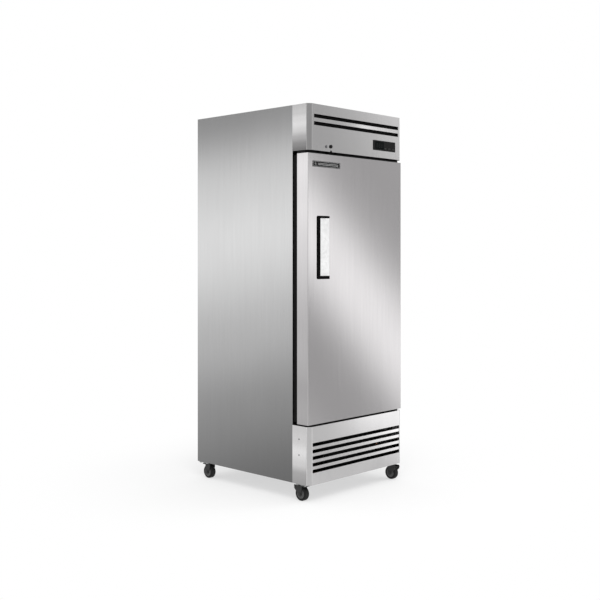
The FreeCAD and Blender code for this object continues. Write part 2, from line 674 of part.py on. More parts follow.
def shelving():
    slot_pitch, first_slot, last_slot = 25.0, 490.0, 1670.0
    pilasters = []
    clips = []
    count = int((last_slot - first_slot) / slot_pitch) + 1
    for side in (-1, 1):
        inner_x = side * (room_half - pilaster_thick)
        for s in pilaster_s:
            strip = block(side * room_half, inner_x, s - pilaster_width / 2, s + pilaster_width / 2,
                          470, 1690)
            starts = [first_slot + slot_pitch * i for i in range(count)]
            slots = [block(side * (room_half - 2), inner_x - side * 1, s - 5, s + 5, z, z + 5)
                     for z in starts]
            pilasters.append(strip.cut(Part.makeCompound(slots)))
            for level in shelf_levels.values():
                outer_x = side * (shelf_half - 12)
                ledge = block(inner_x, outer_x, s - 8, s + 8, level - 3, level)
                web = side_prism([(s - 8, level), (s + 8, level), (s + 8, level - 16), (s - 8, level - 16)],
                                 *sorted((inner_x, inner_x - side * 3)))
                stop = block(inner_x, inner_x - side * 3, s - 8, s + 8, level - 3, level + 9)
                clips.append(fused([ledge, web, stop]))
    save("shelf_pilasters", *pilasters)
    save("shelf_clips", *clips)
    for name, level in shelf_levels.items():
        shelf(name, level)
    save("led_lamp", led_strip())


def led_strip():
    """Lamp under the front edge of the room: an aluminium carrier with a lens that bulges down."""
    seat, belly = opening_top - 5, opening_top - 11
    return side_prism([(126, opening_top), (164, opening_top), (164, seat), (156, belly),
                       (134, belly), (126, seat)], -220, 220)


# ---------------------------------------------------------------- door
pivot_x = half_width - 16.0
pivot_s = 40.0
pin_radius = 5.0
bush_radius = 9.0
handle_x = (-310.4, -215.0)
handle_z = (bottom + 1024.0, bottom + 1343.0)
pocket_depth = 44.0      # behind the door's face
strike_x = (lock_x - 44.0, lock_x + 12.0)
strike_s = (20.0, 31.0)
strike_depth = 16.0
cap_thick = 8.0
cap_setback = 18.0       # front of the end caps and of the hinge arms behind the door's face
cap_up, cap_down = 11.5, 5.5     # how far the caps stand into the gaps over and under the door
hinge_arm_half = 28.0    # from the pin to the arm's inner edge


def left_rounded(shape, radius=9.0):
    """Rounds the two front-to-back edges on the left of the handle's box."""
    chosen = [e for e in shape.Edges if abs(e.tangentAt(e.FirstParameter).y) > 0.999
              and e.Vertexes[0].X < handle_x[0] + 1]
    return shape.makeFillet(radius, chosen)


def door():
    z0, z1 = door_bottom, door_top
    f, b = door_front, door_back
    pocket = left_rounded(block(handle_x[0], handle_x[1], f - 2, f + pocket_depth, *handle_z))
    strike = block(strike_x[0], strike_x[1], strike_s[0], strike_s[1], z1 - strike_depth, z1 + cap_up + 1)
    bushes = [rod_z(bush_radius, pivot_x, pivot_s, z1 - 22, z1 + 1),
              rod_z(bush_radius, pivot_x, pivot_s, z0 - 1, z0 + 22)]

    pan = block(-half_width, half_width, f, b, z0, z1)
    pan = round_upright_edges(pan, 2.5, lambda e: e.Vertexes[0].Y < y_at(f + 1))
    hollow = block(-inner_half, inner_half, f + sheet, b + 1, z0 + sheet, z1 - sheet)
    ends = block(-inner_half, inner_half, f + cap_setback, b + 1, z0 - 1, z1 + 1)
    save("door_skin", pan.cut(hollow).cut(ends).cut(pocket).cut(strike))

    foam = fused([block(-inner_half, inner_half, f + sheet, b, z0 + cap_thick, z1 - cap_thick),
                  block(-inner_half, inner_half, f + sheet, f + cap_setback, z0 + sheet, z1 - sheet)])

    def end_cap(low, high, rail_low, rail_high):
        body = block(-inner_half, inner_half, f + cap_setback, b, low, high)
        rail = block(-inner_half, pivot_x - hinge_arm_half - 2.5, f + cap_setback, b, rail_low, rail_high)
        return fused([body, rail]).cut(Part.makeCompound([strike] + bushes))

    ring_x, ring_inset = half_width - 3.0, 6.0
    rear_ring = block(-ring_x, ring_x, b, b + 12, z0 + ring_inset, z1 - ring_inset)
    window_half = half_width - 66.0
    window = block(-window_half, window_half, b - 1, b + 13, z0 + 66, z1 - 66)
    save("door_edge_frame", end_cap(z1 - cap_thick, z1, z1, z1 + cap_up),
         end_cap(z0, z0 + cap_thick, z0 - cap_down, z0), rear_ring.cut(window))

    def raised_panel(inset, back):
        lower = block(-window_half + inset, window_half - inset, b, b + back - 4,
                      z0 + 66 + inset, z1 - 66 - inset)
        rib = block(-window_half + 30 + inset, window_half - 30 - inset, b + 1, b + back,
                    z0 + 96 + inset, z1 - 96 - inset)
        return fused([lower, rib])

    core = raised_panel(liner_sheet, 12 - liner_sheet)
    save("door_liner", raised_panel(0, 12).cut(core))
    save("door_foam", fused([foam.cut(Part.makeCompound([pocket, strike] + bushes)), core]))

    def gasket_ring(inset, s0, s1):
        """Ring along the door's edge; on the hinge side it stops level with the pin, to clear the face."""
        edge = gasket_edge + inset
        return block(-half_width + edge, pivot_x - inset, s0, s1, z0 + edge, z1 - edge)

    gasket_edge, gasket_width, groove_depth = 7.0, 28.0, 4.0
    ring = gasket_ring(0, b + 12, face - 0.3).cut(gasket_ring(gasket_width, b + 11, face))
    bellows = gasket_ring(-1, b + 19, b + 22).cut(gasket_ring(groove_depth, b + 18, b + 23))
    save("door_gasket", ring.cut(bellows))

    def bush(z_flange, z_end, flange_z):
        body = rod_z(bush_radius, pivot_x, pivot_s, min(z_flange, z_end), max(z_flange, z_end))
        flange = rod_z(13.0, pivot_x, pivot_s, *sorted((z_flange, flange_z)))
        bore = rod_z(pin_radius + 0.05, pivot_x, pivot_s, min(z_flange, z_end, flange_z) - 1,
                     max(z_flange, z_end, flange_z) + 1)
        return fused([body, flange]).cut(bore)

    save("hinge_bushes", bush(z1, z1 - 22, z1 + 1.6), bush(z0, z0 + 22, z0 - 1.8))


def hinge_brackets():
    """Hinge leaves: a thick arm that carries the pin, and a leg screwed to the cabinet's face."""
    x0, x1 = pivot_x - hinge_arm_half, inner_half - 1.6
    s0 = door_front + cap_setback
    leg_height, leg_thick_s, pin_reach = 46.0, 5.0, 18.0

    def leaf(arm_low, arm_high, leg_low, leg_high, pin_low, pin_high):
        arm = round_upright_edges(block(x0, x1, s0, face, arm_low, arm_high), 8.0,
                                  lambda e: e.Vertexes[0].Y < y_at(s0 + 1))
        leg = block(x0 - 20, x1, face - leg_thick_s, face, leg_low, leg_high)
        return fused([arm, leg, rod_z(pin_radius, pivot_x, pivot_s, pin_low, pin_high)])

    upper_low, upper_high = door_top + 2.0, door_top + 12.0
    upper = leaf(upper_low, upper_high, upper_low, upper_low + leg_height, door_top - pin_reach, upper_low)
    lower_low, lower_high = grille_top + 0.6, door_bottom - 2.2
    lower = leaf(lower_low, lower_high, lower_low - leg_height, lower_high,
                 lower_high, door_bottom + pin_reach)
    save("hinge_brackets", upper, lower)


lip_width = 26.5
rim_low, rim_high = 16.0, 11.0
lip_thick = 4.0
flange_proud = 1.5


def handle():
    """Recessed pull: a black tray whose left lip is what the fingers hook, and a bright sloping plate."""
    x0, x1 = handle_x
    z0, z1 = handle_z
    f = door_front
    gap = 0.3
    wall_t = 2.0
    front = f - flange_proud
    tray = left_rounded(block(x0 + gap, x1 - gap, front, f + pocket_depth - gap, z0 + gap, z1 - gap))
    window = block(x0 + lip_width, x1 + 1, front - 1, f + lip_thick + 1, z0 + rim_low, z1 - rim_high)
    cavity = block(x0 + gap + wall_t, x1 - wall_t, f + lip_thick - 1.5, f + pocket_depth - wall_t,
                   z0 + rim_low, z1 - rim_high)
    save("handle_bezel", tray.cut(Part.makeCompound([window, cavity])))

    right, left = x1 - gap, x0 + gap + wall_t + 0.1
    shallow, deep = f + 0.2, f + pocket_depth - wall_t - 3.0
    plate_t = 2.0
    plate = plan_prism([(right, shallow), (right, shallow + plate_t), (left + 6, deep + plate_t),
                        (left, deep + plate_t), (left, deep), (left + 6, deep)],
                       z0 + rim_low + 0.1, z1 - rim_high - 0.1)
    save("handle_plate", plate)


def nameplate():
    """A blank plate on the door's top left corner."""
    save("nameplate", rounded_plate(-340, -135, door_front - 1.5, door_front,
                                    bottom + 1587.5, bottom + 1617.0, 2.0))


# ---------------------------------------------------------------- casters
wheel_radius = 36.0
wheel_width = 30.0
trail = 18.0
axle_radius = 4.0
plate_side = 68.0
plate_thick = 3.0
race_low = 81.0
fork_top = race_low - 0.4
fork_gap = 2.0           # between the hub and a fork leg
leg_thick = 3.0
pedal_offset = 31.0      # from the wheel's centre to the pedal's pivot, away from the swivel
pedal_pivot_level = 69.0
pedal_reach = 12.0


def caster_plates(centres):
    plates = []
    for x, s in centres:
        plate = block(x - plate_side / 2, x + plate_side / 2, s - plate_side / 2, s + plate_side / 2,
                      bottom - plate_thick, bottom)
        plate = round_upright_edges(plate, 6.0)
        race = rod_z(23.0, x, s, race_low, bottom - plate_thick)
        bolts = [rod_z(5.0, x + dx, s + ds, bottom - plate_thick - 4, bottom - plate_thick)
                 for dx in (-26, 26) for ds in (-26, 26)]
        bore = rod_z(5.05, x, s, race_low - 1, bottom + 1)
        plates.append(fused([plate, race] + bolts).cut(bore))
    save("caster_plates", *plates)


def caster(tag, x, s, way, braked):
    """Swivel fork with its axle bolt, the wheel on it, and on the front pair a brake pedal.

    The wheel trails to the back of the swivel where way is 1, and to the front where it is -1.
    """
    def behind(distance):
        return s + way * distance

    wheel_s = behind(trail)
    leg_inner = wheel_width / 2 + fork_gap
    outer = leg_inner + leg_thick
    crown = rod_z(22.0, x, s, fork_top - 4, fork_top)
    bridge = block(x - outer, x + outer, behind(-16), behind(trail + 8), fork_top - 6, fork_top - 2)
    pin = rod_z(5.0, x, s, fork_top - 1, bottom - 1)
    legs = []
    reach = trail + (pedal_offset + 7 if braked else 22.0)
    for side in (-1, 1):
        low, high = sorted((x + side * leg_inner, x + side * outer))
        outline = [(behind(reach), fork_top - 2), (behind(trail - 14), fork_top - 2),
                   (behind(trail - 12), wheel_radius), (behind(trail + 12), wheel_radius),
                   (behind(reach), fork_top - 20)]
        plate = side_prism(outline, low, high)
        foot = rod_x(12.0, low, high, wheel_s, wheel_radius)
        legs.append(fused([plate, foot]))
    fork = fused([crown, bridge, pin] + legs)
    fork = fork.cut(rod_x(axle_radius, x - outer - 1, x + outer + 1, wheel_s, wheel_radius))
    if braked:
        fork = fork.cut(rod_x(2.55, x - outer - 1, x + outer + 1, behind(trail + pedal_offset),
                              pedal_pivot_level))
    axle = fused([rod_x(axle_radius, x - outer, x + outer, wheel_s, wheel_radius),
                  rod_x(7.0, x - outer - 4, x - outer, wheel_s, wheel_radius),
                  rod_x(7.0, x + outer, x + outer + 4, wheel_s, wheel_radius)])
    save(f"caster_fork_{tag}", fork, axle)
    caster_wheel(tag, x, wheel_s, leg_inner)
    if braked:
        brake_pedal(tag, x, behind(trail + pedal_offset), way, leg_inner)


def caster_wheel(tag, x, wheel_s, leg_inner):
    """A solid tyre with dished sides and a hub that stops just short of the fork's legs."""
    wheel = rod_x(wheel_radius, x - wheel_width / 2, x + wheel_width / 2, wheel_s, wheel_radius)
    rims = [e for e in wheel.Edges if isinstance(e.Curve, Part.Circle)]
    wheel = wheel.makeFillet(6.0, rims)
    dish = 3.0
    for side in (-1, 1):
        low, high = sorted((x + side * wheel_width / 2, x + side * (wheel_width / 2 - dish)))
        wheel = wheel.cut(rod_x(25.0, low, high, wheel_s, wheel_radius))
    hub = rod_x(11.0, x - leg_inner + 0.5, x + leg_inner - 0.5, wheel_s, wheel_radius)
    bore = rod_x(axle_radius + 0.08, x - leg_inner, x + leg_inner, wheel_s, wheel_radius)
    save(f"caster_wheel_{tag}", fused([wheel, hub]).cut(bore))


def brake_pedal(tag, x, pivot_s_here, way, leg_inner):
    """Tread that is stepped on, on a pin between the fork's legs, with a shoe over the tyre."""
    def out(distance):
        return pivot_s_here + way * distance

    half = leg_inner - 1.0
    z = pedal_pivot_level
    barrel = rod_x(4.5, x - half, x + half, pivot_s_here, z)
    hinge_pin = rod_x(2.5, x - half - 1 - leg_thick, x + half + 1 + leg_thick, pivot_s_here, z)
    tread = side_prism([(out(pedal_reach), z + 1), (out(pedal_reach), z + 4), (out(0), z + 4), (out(0), z),
                        (out(4), z)], x - half, x + half)
    shoe = block(x - half + 2, x + half - 2, out(-2), out(2), z - 9, z)
    save(f"brake_pedal_{tag}", fused([barrel, hinge_pin, tread, shoe]))


def casters():
    """The front left wheel trails to the back; the others have swung to the front."""
    places = {}
    for row, s in (("front", caster_front_s), ("rear", caster_rear_s)):
        for hand, side in (("left", -1), ("right", 1)):
            places[f"{row}_{hand}"] = (side * (half_width - caster_inset_x), s)
    caster_plates(places.values())
    for tag, (x, s) in places.items():
        caster(tag, x, s, 1 if tag == "front_left" else -1, braked=tag.startswith("front"))


os.makedirs("parts", exist_ok=True)
cabinet_panels()
insulation()
liner()
face_frame()
header()
lower_grille()
panel_screws()
controller()
lock()
base_plate()
compressor()
condenser()
condensate_drain()
refrigerant_lines()
electrical_box()
rear_cover()
evaporator()
shelving()
door()
hinge_brackets()
handle()
nameplate()
casters()
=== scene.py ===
import math

import bmesh
import bpy
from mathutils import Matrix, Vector


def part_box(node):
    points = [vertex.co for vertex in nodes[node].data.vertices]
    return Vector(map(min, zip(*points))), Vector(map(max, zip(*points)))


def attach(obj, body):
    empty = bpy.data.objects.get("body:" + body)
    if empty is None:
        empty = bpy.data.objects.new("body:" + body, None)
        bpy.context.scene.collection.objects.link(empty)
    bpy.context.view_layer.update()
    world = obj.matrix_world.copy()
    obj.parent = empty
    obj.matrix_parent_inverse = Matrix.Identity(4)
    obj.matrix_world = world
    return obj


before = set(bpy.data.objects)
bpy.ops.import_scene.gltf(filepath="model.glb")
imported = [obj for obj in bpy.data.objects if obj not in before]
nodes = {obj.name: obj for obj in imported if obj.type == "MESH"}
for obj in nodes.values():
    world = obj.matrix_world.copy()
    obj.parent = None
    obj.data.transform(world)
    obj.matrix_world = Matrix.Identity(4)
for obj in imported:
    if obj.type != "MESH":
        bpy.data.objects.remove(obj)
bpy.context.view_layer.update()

# The looks of a one-door reach-in refrigerator: finishes, small detail pieces, studio and camera.
# Everything is in metres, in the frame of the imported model: +Z up, the door faces -Y.

scene = bpy.context.scene
scene.view_settings.view_transform = "Standard"


# ---------------------------------------------------------------- node graphs
class Graph:
    """Short form for node trees: a call adds a node, sets or links its inputs, and returns it."""

    def __init__(self, tree):
        self.tree = tree
        tree.nodes.clear()

    def __call__(self, kind, settings=None, **inputs):
        node = self.tree.nodes.new("ShaderNode" + kind)
        for key, value in (settings or {}).items():
            setattr(node, key, value)
        for key, value in inputs.items():
            socket = node.inputs[int(key[1:])] if key[1:].isdigit() else node.inputs[key.replace("_", " ")]
            if isinstance(value, bpy.types.NodeSocket):
                self.tree.links.new(value, socket)
            else:
                socket.default_value = value
        return node

    def math(self, operation, *values):
        inputs = {f"i{i}": value for i, value in enumerate(values)}
        return self("Math", {"operation": operation}, **inputs).outputs[0]

    def between(self, value, low, high, to_low=0.0, to_high=1.0):
        """value mapped smoothly from low..high to to_low..to_high."""
        node = self("MapRange", {"interpolation_type": "SMOOTHSTEP"}, Value=value,
                    From_Min=low, From_Max=high, To_Min=to_low, To_Max=to_high)
        return node.outputs["Result"]

    def curve(self, value, points):
        """A smooth curve through (value, result) points."""
        low, high = points[0][0], points[-1][0]
        peak = max(result for _, result in points)
        place = self("MapRange", Value=value, From_Min=low, From_Max=high).outputs["Result"]
        ramp = self("ValToRGB", Fac=place)
        ramp.color_ramp.interpolation = "EASE"
        elements = ramp.color_ramp.elements
        while len(elements) < len(points):
            elements.new(0.5)
        for element, (x, result) in zip(elements, points):
            element.position = (x - low) / (high - low)
        for element, (x, result) in zip(elements, points):
            grey = result / peak
            element.color = (grey, grey, grey, 1.0)
        return self.math("MULTIPLY", ramp.outputs["Color"], peak)

    def mix(self, factor, low, high):
        """Float mix of two values."""
        return self("Mix", {"data_type": "FLOAT"}, Factor=factor, i2=low, i3=high).outputs[0]

    def place(self):
        """X, Y and Z of the point in object space."""
        return self("SeparateXYZ", Vector=self("TexCoord").outputs["Object"]).outputs

    def tint(self, factor, low, high):
        """Colour mix of two colours, given as (r, g, b)."""
        mixer = self("Mix", {"data_type": "RGBA"})
        for index, value in ((0, factor), (6, low), (7, high)):
            if isinstance(value, bpy.types.NodeSocket):
                self.tree.links.new(value, mixer.inputs[index])
            else:
                mixer.inputs[index].default_value = value if index == 0 else (*value, 1.0)
        return mixer.outputs[2]

    def noise(self, scale, stretch=(1, 1, 1), detail=3.0):
        """Noise in object space, 0 to 1, with its own stretch along each axis."""
        place = self("Mapping", Vector=self("TexCoord").outputs["Object"], Scale=stretch).outputs[0]
        return self("TexNoise", Vector=place, Scale=scale, Detail=detail, Roughness=0.55).outputs["Fac"]


def grey(value, blue=1.0):
    return (value, value, value * blue)


def surface(name, base, roughness, metallic=0.0, bump=None, bump_depth=0.0002, bump_strength=0.5,
            lean=None, **sockets):
    """A Principled material; base, roughness, bump and lean are functions of the graph, or plain values."""
    material = bpy.data.materials.new(name)
    material.use_nodes = True
    graph = Graph(material.node_tree)
    shader = graph("BsdfPrincipled", Metallic=metallic, **sockets)
    for socket, value in (("Base Color", base), ("Roughness", roughness)):
        value = value(graph) if callable(value) else value
        if isinstance(value, bpy.types.NodeSocket):
            graph.tree.links.new(value, shader.inputs[socket])
        else:
            shader.inputs[socket].default_value = (*value, 1.0) if socket == "Base Color" else value
    if bump:
        height = graph("Bump", Height=bump(graph), Strength=bump_strength, Distance=bump_depth)
        if lean:
            tipped = graph("VectorMath", {"operation": "ADD"}, i0=graph("NewGeometry").outputs["Normal"],
                           i1=lean(graph))
            straight = graph("VectorMath", {"operation": "NORMALIZE"}, i0=tipped.outputs[0])
            graph.tree.links.new(straight.outputs[0], height.inputs["Normal"])
        graph.tree.links.new(height.outputs["Normal"], shader.inputs["Normal"])
    if sockets.get("Anisotropic"):
        turn = graph("Tangent", {"direction_type": "RADIAL", "axis": "Z"})
        graph.tree.links.new(turn.outputs[0], shader.inputs["Tangent"])
    output = graph("OutputMaterial")
    graph.tree.links.new(shader.outputs[0], output.inputs["Surface"])
    return material


# ---------------------------------------------------------------- finishes
def brushed(name, tone, rough, grain="z", anisotropy=0.0, painted_light=None, lean=None, tint=(1.0, 1.003)):
    """Brushed stainless sheet: fine grain lines along one axis, faint wider streaks and soft patches.

    The tone-by-place function multiplies the sheet's tone by place: painted reflections, painted highlights
    and painted shade. lean(graph) gives a small vector that is added to the normal, as on a sheet that bows
    or leans a little. tint gives red and blue against green.
    """
    fine = {"z": (1, 1, 0.006), "x": (0.006, 1, 1)}[grain]
    wide = {"z": (1, 1, 0.02), "x": (0.02, 1, 1)}[grain]

    def base(g):
        lines = g.between(g.noise(900.0, fine, detail=2.0), 0.3, 0.7, 0.975, 1.025)
        streaks = g.between(g.noise(70.0, wide, detail=3.0), 0.3, 0.7, 0.994, 1.006)
        patches = g.between(g.noise(1.6, detail=2.0), 0.35, 0.65, 0.985, 1.015)
        value = g.math("MULTIPLY", g.math("MULTIPLY", lines, streaks), g.math("MULTIPLY", patches, tone))
        # painted light: the tone is multiplied by place into painted reflections, highlights and shade
        if painted_light:
            value = g.math("MINIMUM", g.math("MULTIPLY", value, painted_light(g)), 0.97)
        red, blue = (g.math("MULTIPLY", value, share) for share in tint)
        return g("CombineColor", Red=red, Green=value, Blue=blue).outputs[0]

    def roughness(g):
        return g.between(g.noise(500.0, fine, detail=2.0), 0.25, 0.75, rough * 0.93, rough * 1.07)

    return surface(name, base, roughness, 1.0, bump=lambda g: g.noise(1100.0, fine, detail=2.0),
                   bump_depth=0.000005, bump_strength=0.15, lean=lean, Anisotropic=anisotropy)


def moulded(name, colour, rough, grain_scale=700.0, depth=0.00006, **sockets):
    """Moulded plastic or powder coat: a fine pebbled skin and slightly uneven gloss."""
    def base(g):
        patches = g.noise(14.0, detail=3.0)
        return g.tint(patches, tuple(c * 0.8 for c in colour), tuple(min(c * 1.25, 1.0) for c in colour))

    return surface(name, base, lambda g: g.between(g.noise(40.0), 0.3, 0.7, rough * 0.85, rough * 1.15),
                   bump=lambda g: g.noise(grain_scale, detail=2.0), bump_depth=depth, bump_strength=0.6,
                   **sockets)


def galvanised(name):
    """Zinc-coated sheet: angular spangle in slightly different greys."""
    def base(g):
        place = g("TexCoord").outputs["Object"]
        cells = g("TexVoronoi", Vector=place, Scale=70.0).outputs["Color"]
        value = g("SeparateColor", Color=cells).outputs[0]
        value = g.between(value, 0.0, 1.0, 0.46, 0.53)
        return g("CombineColor", Red=value, Green=value, Blue=g.math("MULTIPLY", value, 1.03)).outputs[0]

    return surface(name, base, lambda g: g.between(g.noise(30.0), 0.3, 0.7, 0.37, 0.45), 1.0,
                   bump=lambda g: g.noise(120.0), bump_depth=0.00005)


def stucco(name):
    """Embossed aluminium, as used for cabinet liners: a soft pebble pattern pressed into bright sheet."""
    def bump(g):
        place = g("TexCoord").outputs["Object"]
        return g("TexVoronoi", {"feature": "SMOOTH_F1"}, Vector=place, Scale=130.0).outputs["Distance"]

    return surface(name, lambda g: g.tint(g.noise(3.0), grey(0.62), grey(0.72, 1.02)),
                   lambda g: g.between(g.noise(25.0), 0.3, 0.7, 0.30, 0.40), 1.0, bump=bump,
                   bump_depth=0.0006, bump_strength=0.5)


def metal(name, colour, rough, scale=300.0, depth=0.00003):
    """Plain metal with a little unevenness in tone, gloss and surface."""
    return surface(name, lambda g: g.tint(g.noise(18.0), tuple(c * 0.85 for c in colour),
                                          tuple(min(c * 1.12, 1.0) for c in colour)),
                   lambda g: g.between(g.noise(60.0), 0.3, 0.7, rough * 0.8, rough * 1.2), 1.0,
                   bump=lambda g: g.noise(scale), bump_depth=depth)


def rubber(name, value, rough, depth=0.0001, **sockets):
    return surface(name, lambda g: g.tint(g.noise(25.0), grey(value * 0.7), grey(value * 1.5)),
                   lambda g: g.between(g.noise(80.0), 0.3, 0.7, rough * 0.85, min(rough * 1.1, 1.0)),
                   bump=lambda g: g.noise(900.0), bump_depth=depth, **sockets)


def foam(name):
    return surface(name, lambda g: g.tint(g.noise(35.0), (0.70, 0.60, 0.33), (0.82, 0.74, 0.47)), 0.9,
                   bump=lambda g: g.noise(500.0), bump_depth=0.0008)


def glowing(name, colour, strength):
    return surface(name, lambda g: g.tint(g.noise(60.0), tuple(c * 0.93 for c in colour), colour), 0.45,
                   Emission_Color=(*colour, 1.0), Emission_Strength=strength)


grille_foot, grille_top = (corner.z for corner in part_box("lower_grille"))
header_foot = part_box("header_panel")[0].z
front_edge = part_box("header_panel")[0].y
half_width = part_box("side_panel_right")[1].x
bevel_depth = 0.018
header_slots, header_slot_height, header_slot_half = (0.172, 0.135), 0.0185, 0.337
grille_slots, grille_slot_height, grille_slot_half = [0.201 - 0.033 * i for i in range(5)], 0.0175, 0.347
blur = 0.001             # half the width over which one zone of a sheet's tone turns into the next


def on_ear(g):
    """1 on the parts of header and grille that wrap round the sides, 0 on their front and bevels."""
    return g.between(g.place()[1], front_edge + bevel_depth - blur, front_edge + bevel_depth + blur)


def zone(g, z, low, high):
    """1 between two levels, 0 below and above them."""
    return g.math("MULTIPLY", g.between(z, low - blur, low + blur),
                  g.between(z, high - blur, high + blur, 1.0, 0.0))


def over_slots(g, x):
    """1 along the length of the slots, 0 towards the bevelled corners."""
    return g.between(g.math("ABSOLUTE", x), half_width - 0.045, half_width - 0.028, 1.0, 0.0)


def slot_strip(g):
    """Up to 1 on the bowed strip between the header's slots, growing to the right."""
    x, _, z = g.place()
    strip = g.math("MULTIPLY", zone(g, z, header_foot + 0.144, header_foot + 0.163), over_slots(g, x))
    return g.math("MULTIPLY", strip, g.between(x, -half_width * 0.5, half_width * 0.2, 0.1, 1.0))


def header_painted_light(g):
    """Painted light on the header's tone: a painted reflection lighter to the right, a painted highlight on
    the strip between the two slots, and painted shade at the foot of each ear.
    """
    x, _, z = g.place()
    # painted reflection growing to the right, and a painted highlight on the strip between the slots
    across = g.mix(slot_strip(g), g.between(x, -half_width, half_width, 0.85, 1.12), 1.3)
    # painted shade at the foot of each ear, and a painted reflection higher up
    ear = g.curve(g.math("SUBTRACT", z, header_foot),
                  [(0.0, 0.42), (0.03, 0.54), (0.065, 0.75), (0.10, 0.99), (0.13, 1.05), (0.16, 0.92),
                   (0.19, 0.74), (0.232, 0.64)])
    return g.mix(on_ear(g), across, ear)


def grille_painted_light(g):
    """Painted light on the grille's tone: a painted reflection across the front, lightest near its middle
    and on the slotted zone, and painted shade darkening the ears towards their foot.
    """
    x, _, z = g.place()
    # painted reflection across the front, and a painted highlight on the strips between the slots
    across = g.curve(x, [(-half_width, 1.22), (0.0, 1.33), (0.10, 1.2), (0.20, 1.08), (0.32, 1.0)])
    slotted = g.math("MULTIPLY", zone(g, z, grille_foot + 0.078, grille_foot + 0.192), over_slots(g, x))
    across = g.mix(slotted, across, g.between(x, -half_width, 0.05, 1.10, 1.33))
    # painted shade towards the foot of each ear, and a painted reflection higher up
    ear = g.curve(g.math("SUBTRACT", z, grille_foot),
                  [(0.0, 0.70), (0.05, 0.74), (0.10, 1.08), (0.16, 1.22), (0.22, 0.98),
                   (grille_top - grille_foot, 0.86)])
    return g.mix(on_ear(g), across, ear)


def door_painted_light(g):
    """Painted reflection on the door's tone: the upright returns at its sides are lightest at the foot and
    lighter again at the top.
    """
    x, _, z = g.place()
    on_return = g.between(g.math("ABSOLUTE", x), half_width - 0.002, half_width - 0.0005)
    # painted reflection: tone factor by height on the side returns
    side = g.curve(z, [(0.39, 1.5), (0.60, 1.20), (0.90, 0.92), (1.30, 0.88), (1.50, 0.98),
                       (1.744, 1.2)])
    return g.mix(on_return, 1.0, side)


def leaning(front_lift, ear_lift, strip_lift=None):
    """A sheet whose upright faces tip up by these slopes: in front, on the ears and between the slots."""
    def lean(g):
        front = front_lift if strip_lift is None else g.mix(slot_strip(g), front_lift, strip_lift)
        return g("CombineXYZ", X=0.0, Y=0.0, Z=g.mix(on_ear(g), front, ear_lift)).outputs[0]

    return lean


side_steel = brushed("side_steel", 0.55, 0.13, anisotropy=0.4)
top_steel = brushed("top_steel", 0.55, 0.20, grain="x")
# header, grille and door steel carry painted reflections, painted highlights and painted shade in their tone
header_steel = brushed("header_steel", 0.75, 0.12, anisotropy=0.4, painted_light=header_painted_light,
                       lean=leaning(0.035, 0.060, -0.075), tint=(1.012, 1.003))
grille_steel = brushed("grille_steel", 0.75, 0.12, anisotropy=0.4, painted_light=grille_painted_light,
                       lean=leaning(0.056, 0.09), tint=(1.012, 1.003))
door_steel = brushed("door_steel", 0.62, 0.11, anisotropy=0.3, painted_light=door_painted_light, tint=(1.026, 1.010))
back_sheet = galvanised("galvanised_sheet")
liner_sheet = stucco("stucco_aluminium")
fins = metal("fin_aluminium", grey(0.55, 1.02), 0.35)
screw_zinc = metal("screw_zinc", (0.30, 0.30, 0.31), 0.35)
zinc = metal("bright_zinc", (0.55, 0.56, 0.56), 0.30)
bright_plate = metal("polished_plate", grey(0.93), 0.22, scale=900.0, depth=0.000005)
copper = metal("copper_tube", (0.42, 0.22, 0.14), 0.45)
black_paint = moulded("black_enamel", grey(0.008), 0.42, Specular_IOR_Level=0.2)
deep_black = moulded("deep_black_plastic", grey(0.002), 0.55, Specular_IOR_Level=0.04)
fork_enamel = moulded("fork_enamel", grey(0.030), 0.40, Specular_IOR_Level=0.4)
black_plastic = moulded("black_plastic", grey(0.004), 0.50, Specular_IOR_Level=0.12)
gloss_black = moulded("gloss_black", grey(0.005), 0.22, depth=0.000004, Specular_IOR_Level=0.15)
key_plastic = moulded("key_plastic", grey(0.014), 0.42, Specular_IOR_Level=0.2)
lens = moulded("smoked_lens", (0.002, 0.003, 0.003), 0.08, depth=0.000002, Specular_IOR_Level=0.05)
nylon = moulded("nylon", grey(0.70, 0.95), 0.45)
coated_wire = moulded("coated_wire", grey(0.62, 1.02), 0.28, depth=0.00001)
gasket = rubber("gasket_rubber", 0.006, 0.55, depth=0.00004, Specular_IOR_Level=0.15)
tyre = rubber("tyre_rubber", 0.008, 0.60, Specular_IOR_Level=0.3)
hub_plastic = moulded("hub_plastic", grey(0.08), 0.40)
insulation = foam("polyurethane_foam")
plate_mark = metal("plate_mark", grey(0.62), 0.30, scale=900.0, depth=0.000003)
figure_grey = moulded("figure_grey", grey(0.016), 0.4, depth=0.000002, Specular_IOR_Level=0.1)
mark_grey = moulded("mark_grey", grey(0.05), 0.5, depth=0.000002)
lamp = glowing("lamp_diffuser", (0.90, 0.90, 0.87), 0.15)
jewel = moulded("lamp_jewel", (0.07, 0.07, 0.075), 0.18, depth=0.000004)

